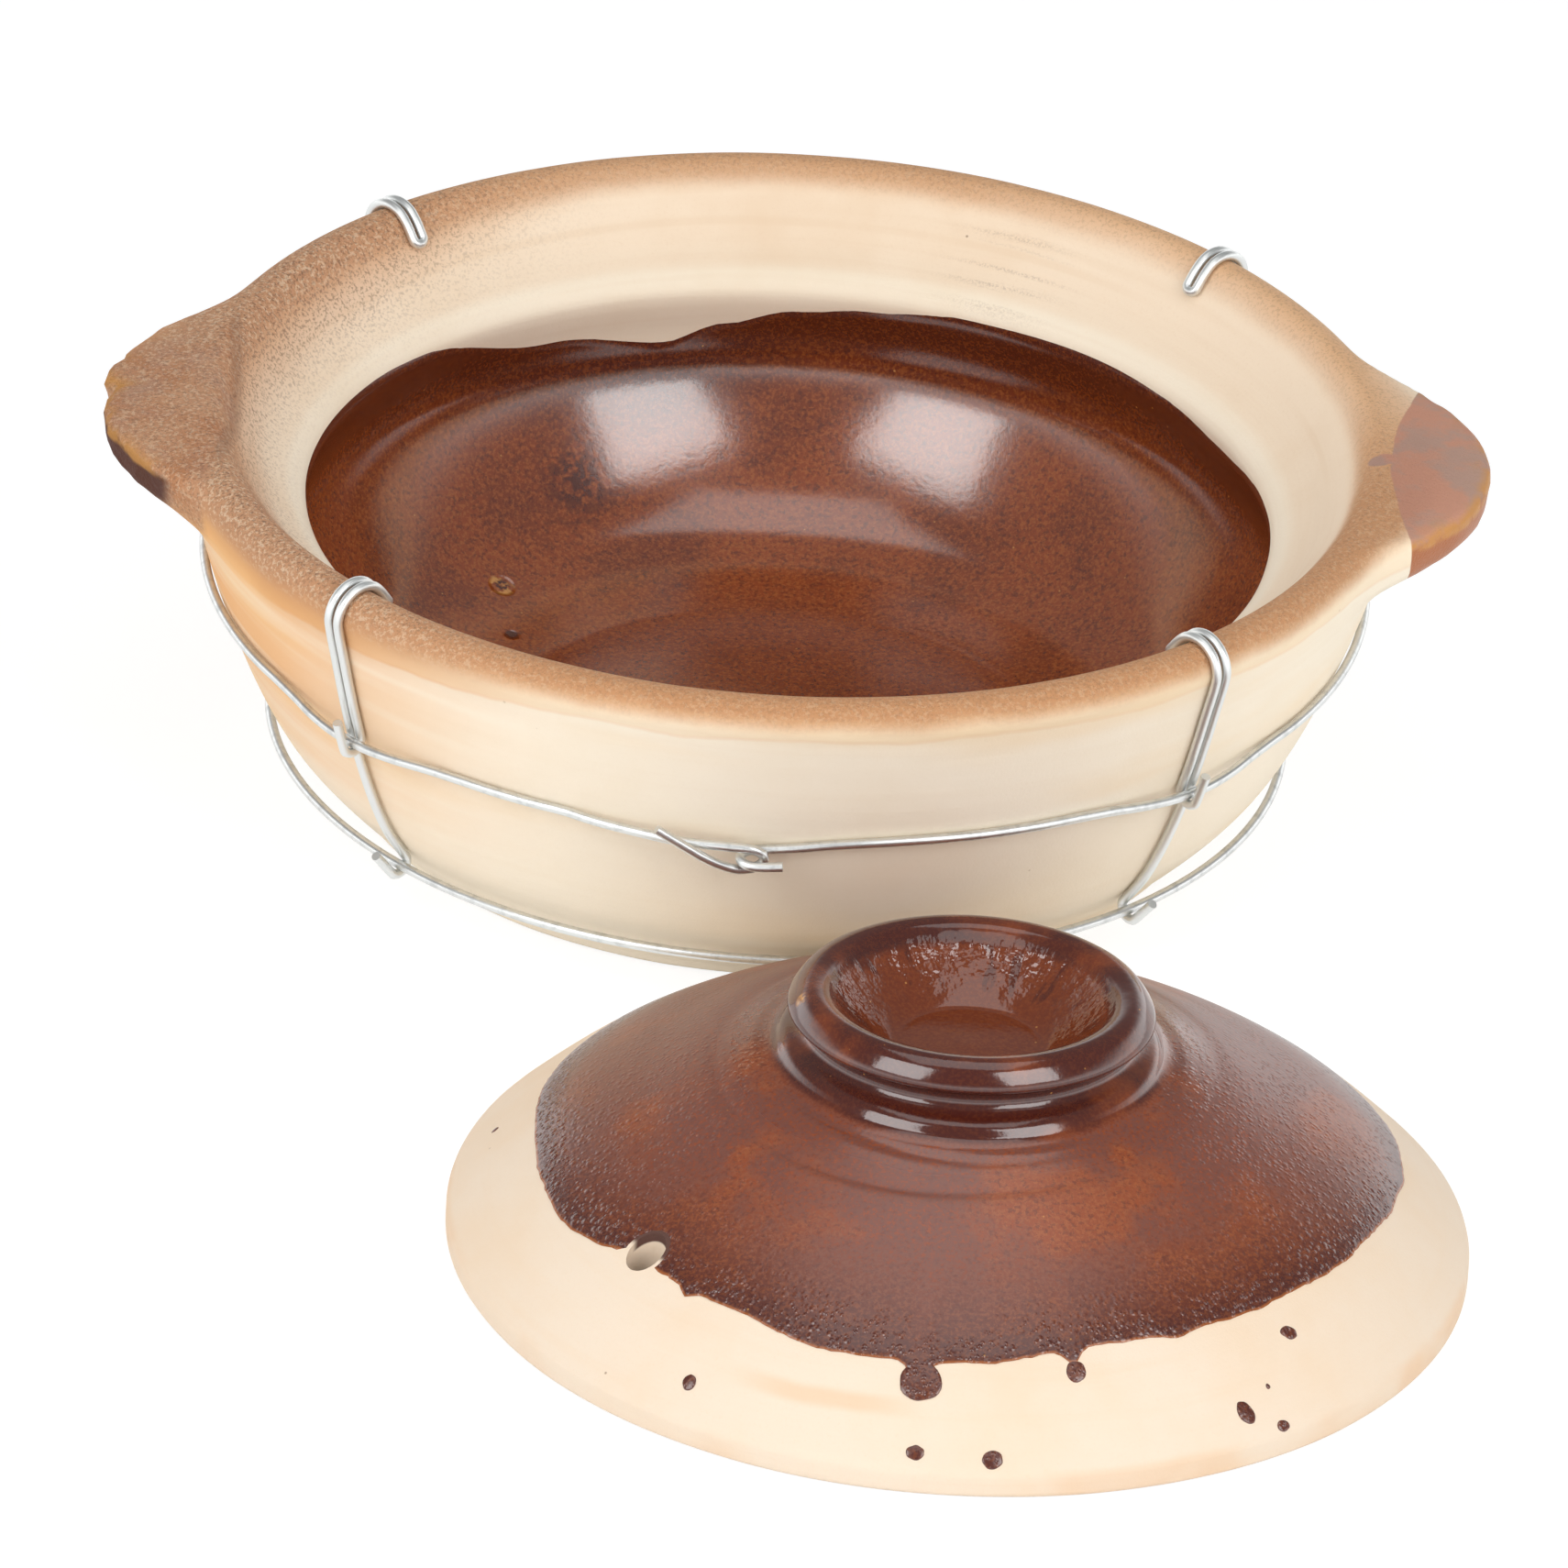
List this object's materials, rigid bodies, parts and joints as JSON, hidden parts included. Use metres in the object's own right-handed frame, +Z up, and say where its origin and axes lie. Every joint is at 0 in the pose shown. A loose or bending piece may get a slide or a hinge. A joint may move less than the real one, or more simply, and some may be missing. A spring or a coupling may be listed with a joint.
{
  "type": "clay casserole",
  "caption": "Shallow round clay casserole with two lugs, a hooked wire harness around its wall, and a domed vented lid with a cup knob standing beside it.",
  "frame": {"origin": "middle of the pot's flat foot, on the surface that it stands on", "axes": "+Z up, the two lugs along X, the lid stands towards -Y"},
  "size_m": [0.2875, 0.4216, 0.0833],
  "materials": {
    "clay": "matt unglazed cream clay",
    "scorched_clay": "matt clay dipped in a thin brown wash",
    "brown_glaze": "glossy red-brown glaze",
    "galvanised_wire": "galvanised, satin"
  },
  "bodies": {
    "pot": {"pot_body": "clay", "right_lug": "scorched_clay", "left_lug": "scorched_clay", "upper_hoop": "galvanised_wire", "lower_hoop": "galvanised_wire", "tie_back_right": "galvanised_wire", "tie_back_left": "galvanised_wire", "tie_front_left": "galvanised_wire", "tie_front_right": "galvanised_wire"},
    "lid": {"lid_dome": "clay", "lid_knob": "brown_glaze"}
  },
  "joints": [
    {"name": "lid_lift", "type": "slide", "parent": "pot", "child": "lid", "axis": [0.153, -0.6903, 0.7071], "range_m": [0, 0.2]}
  ]
}
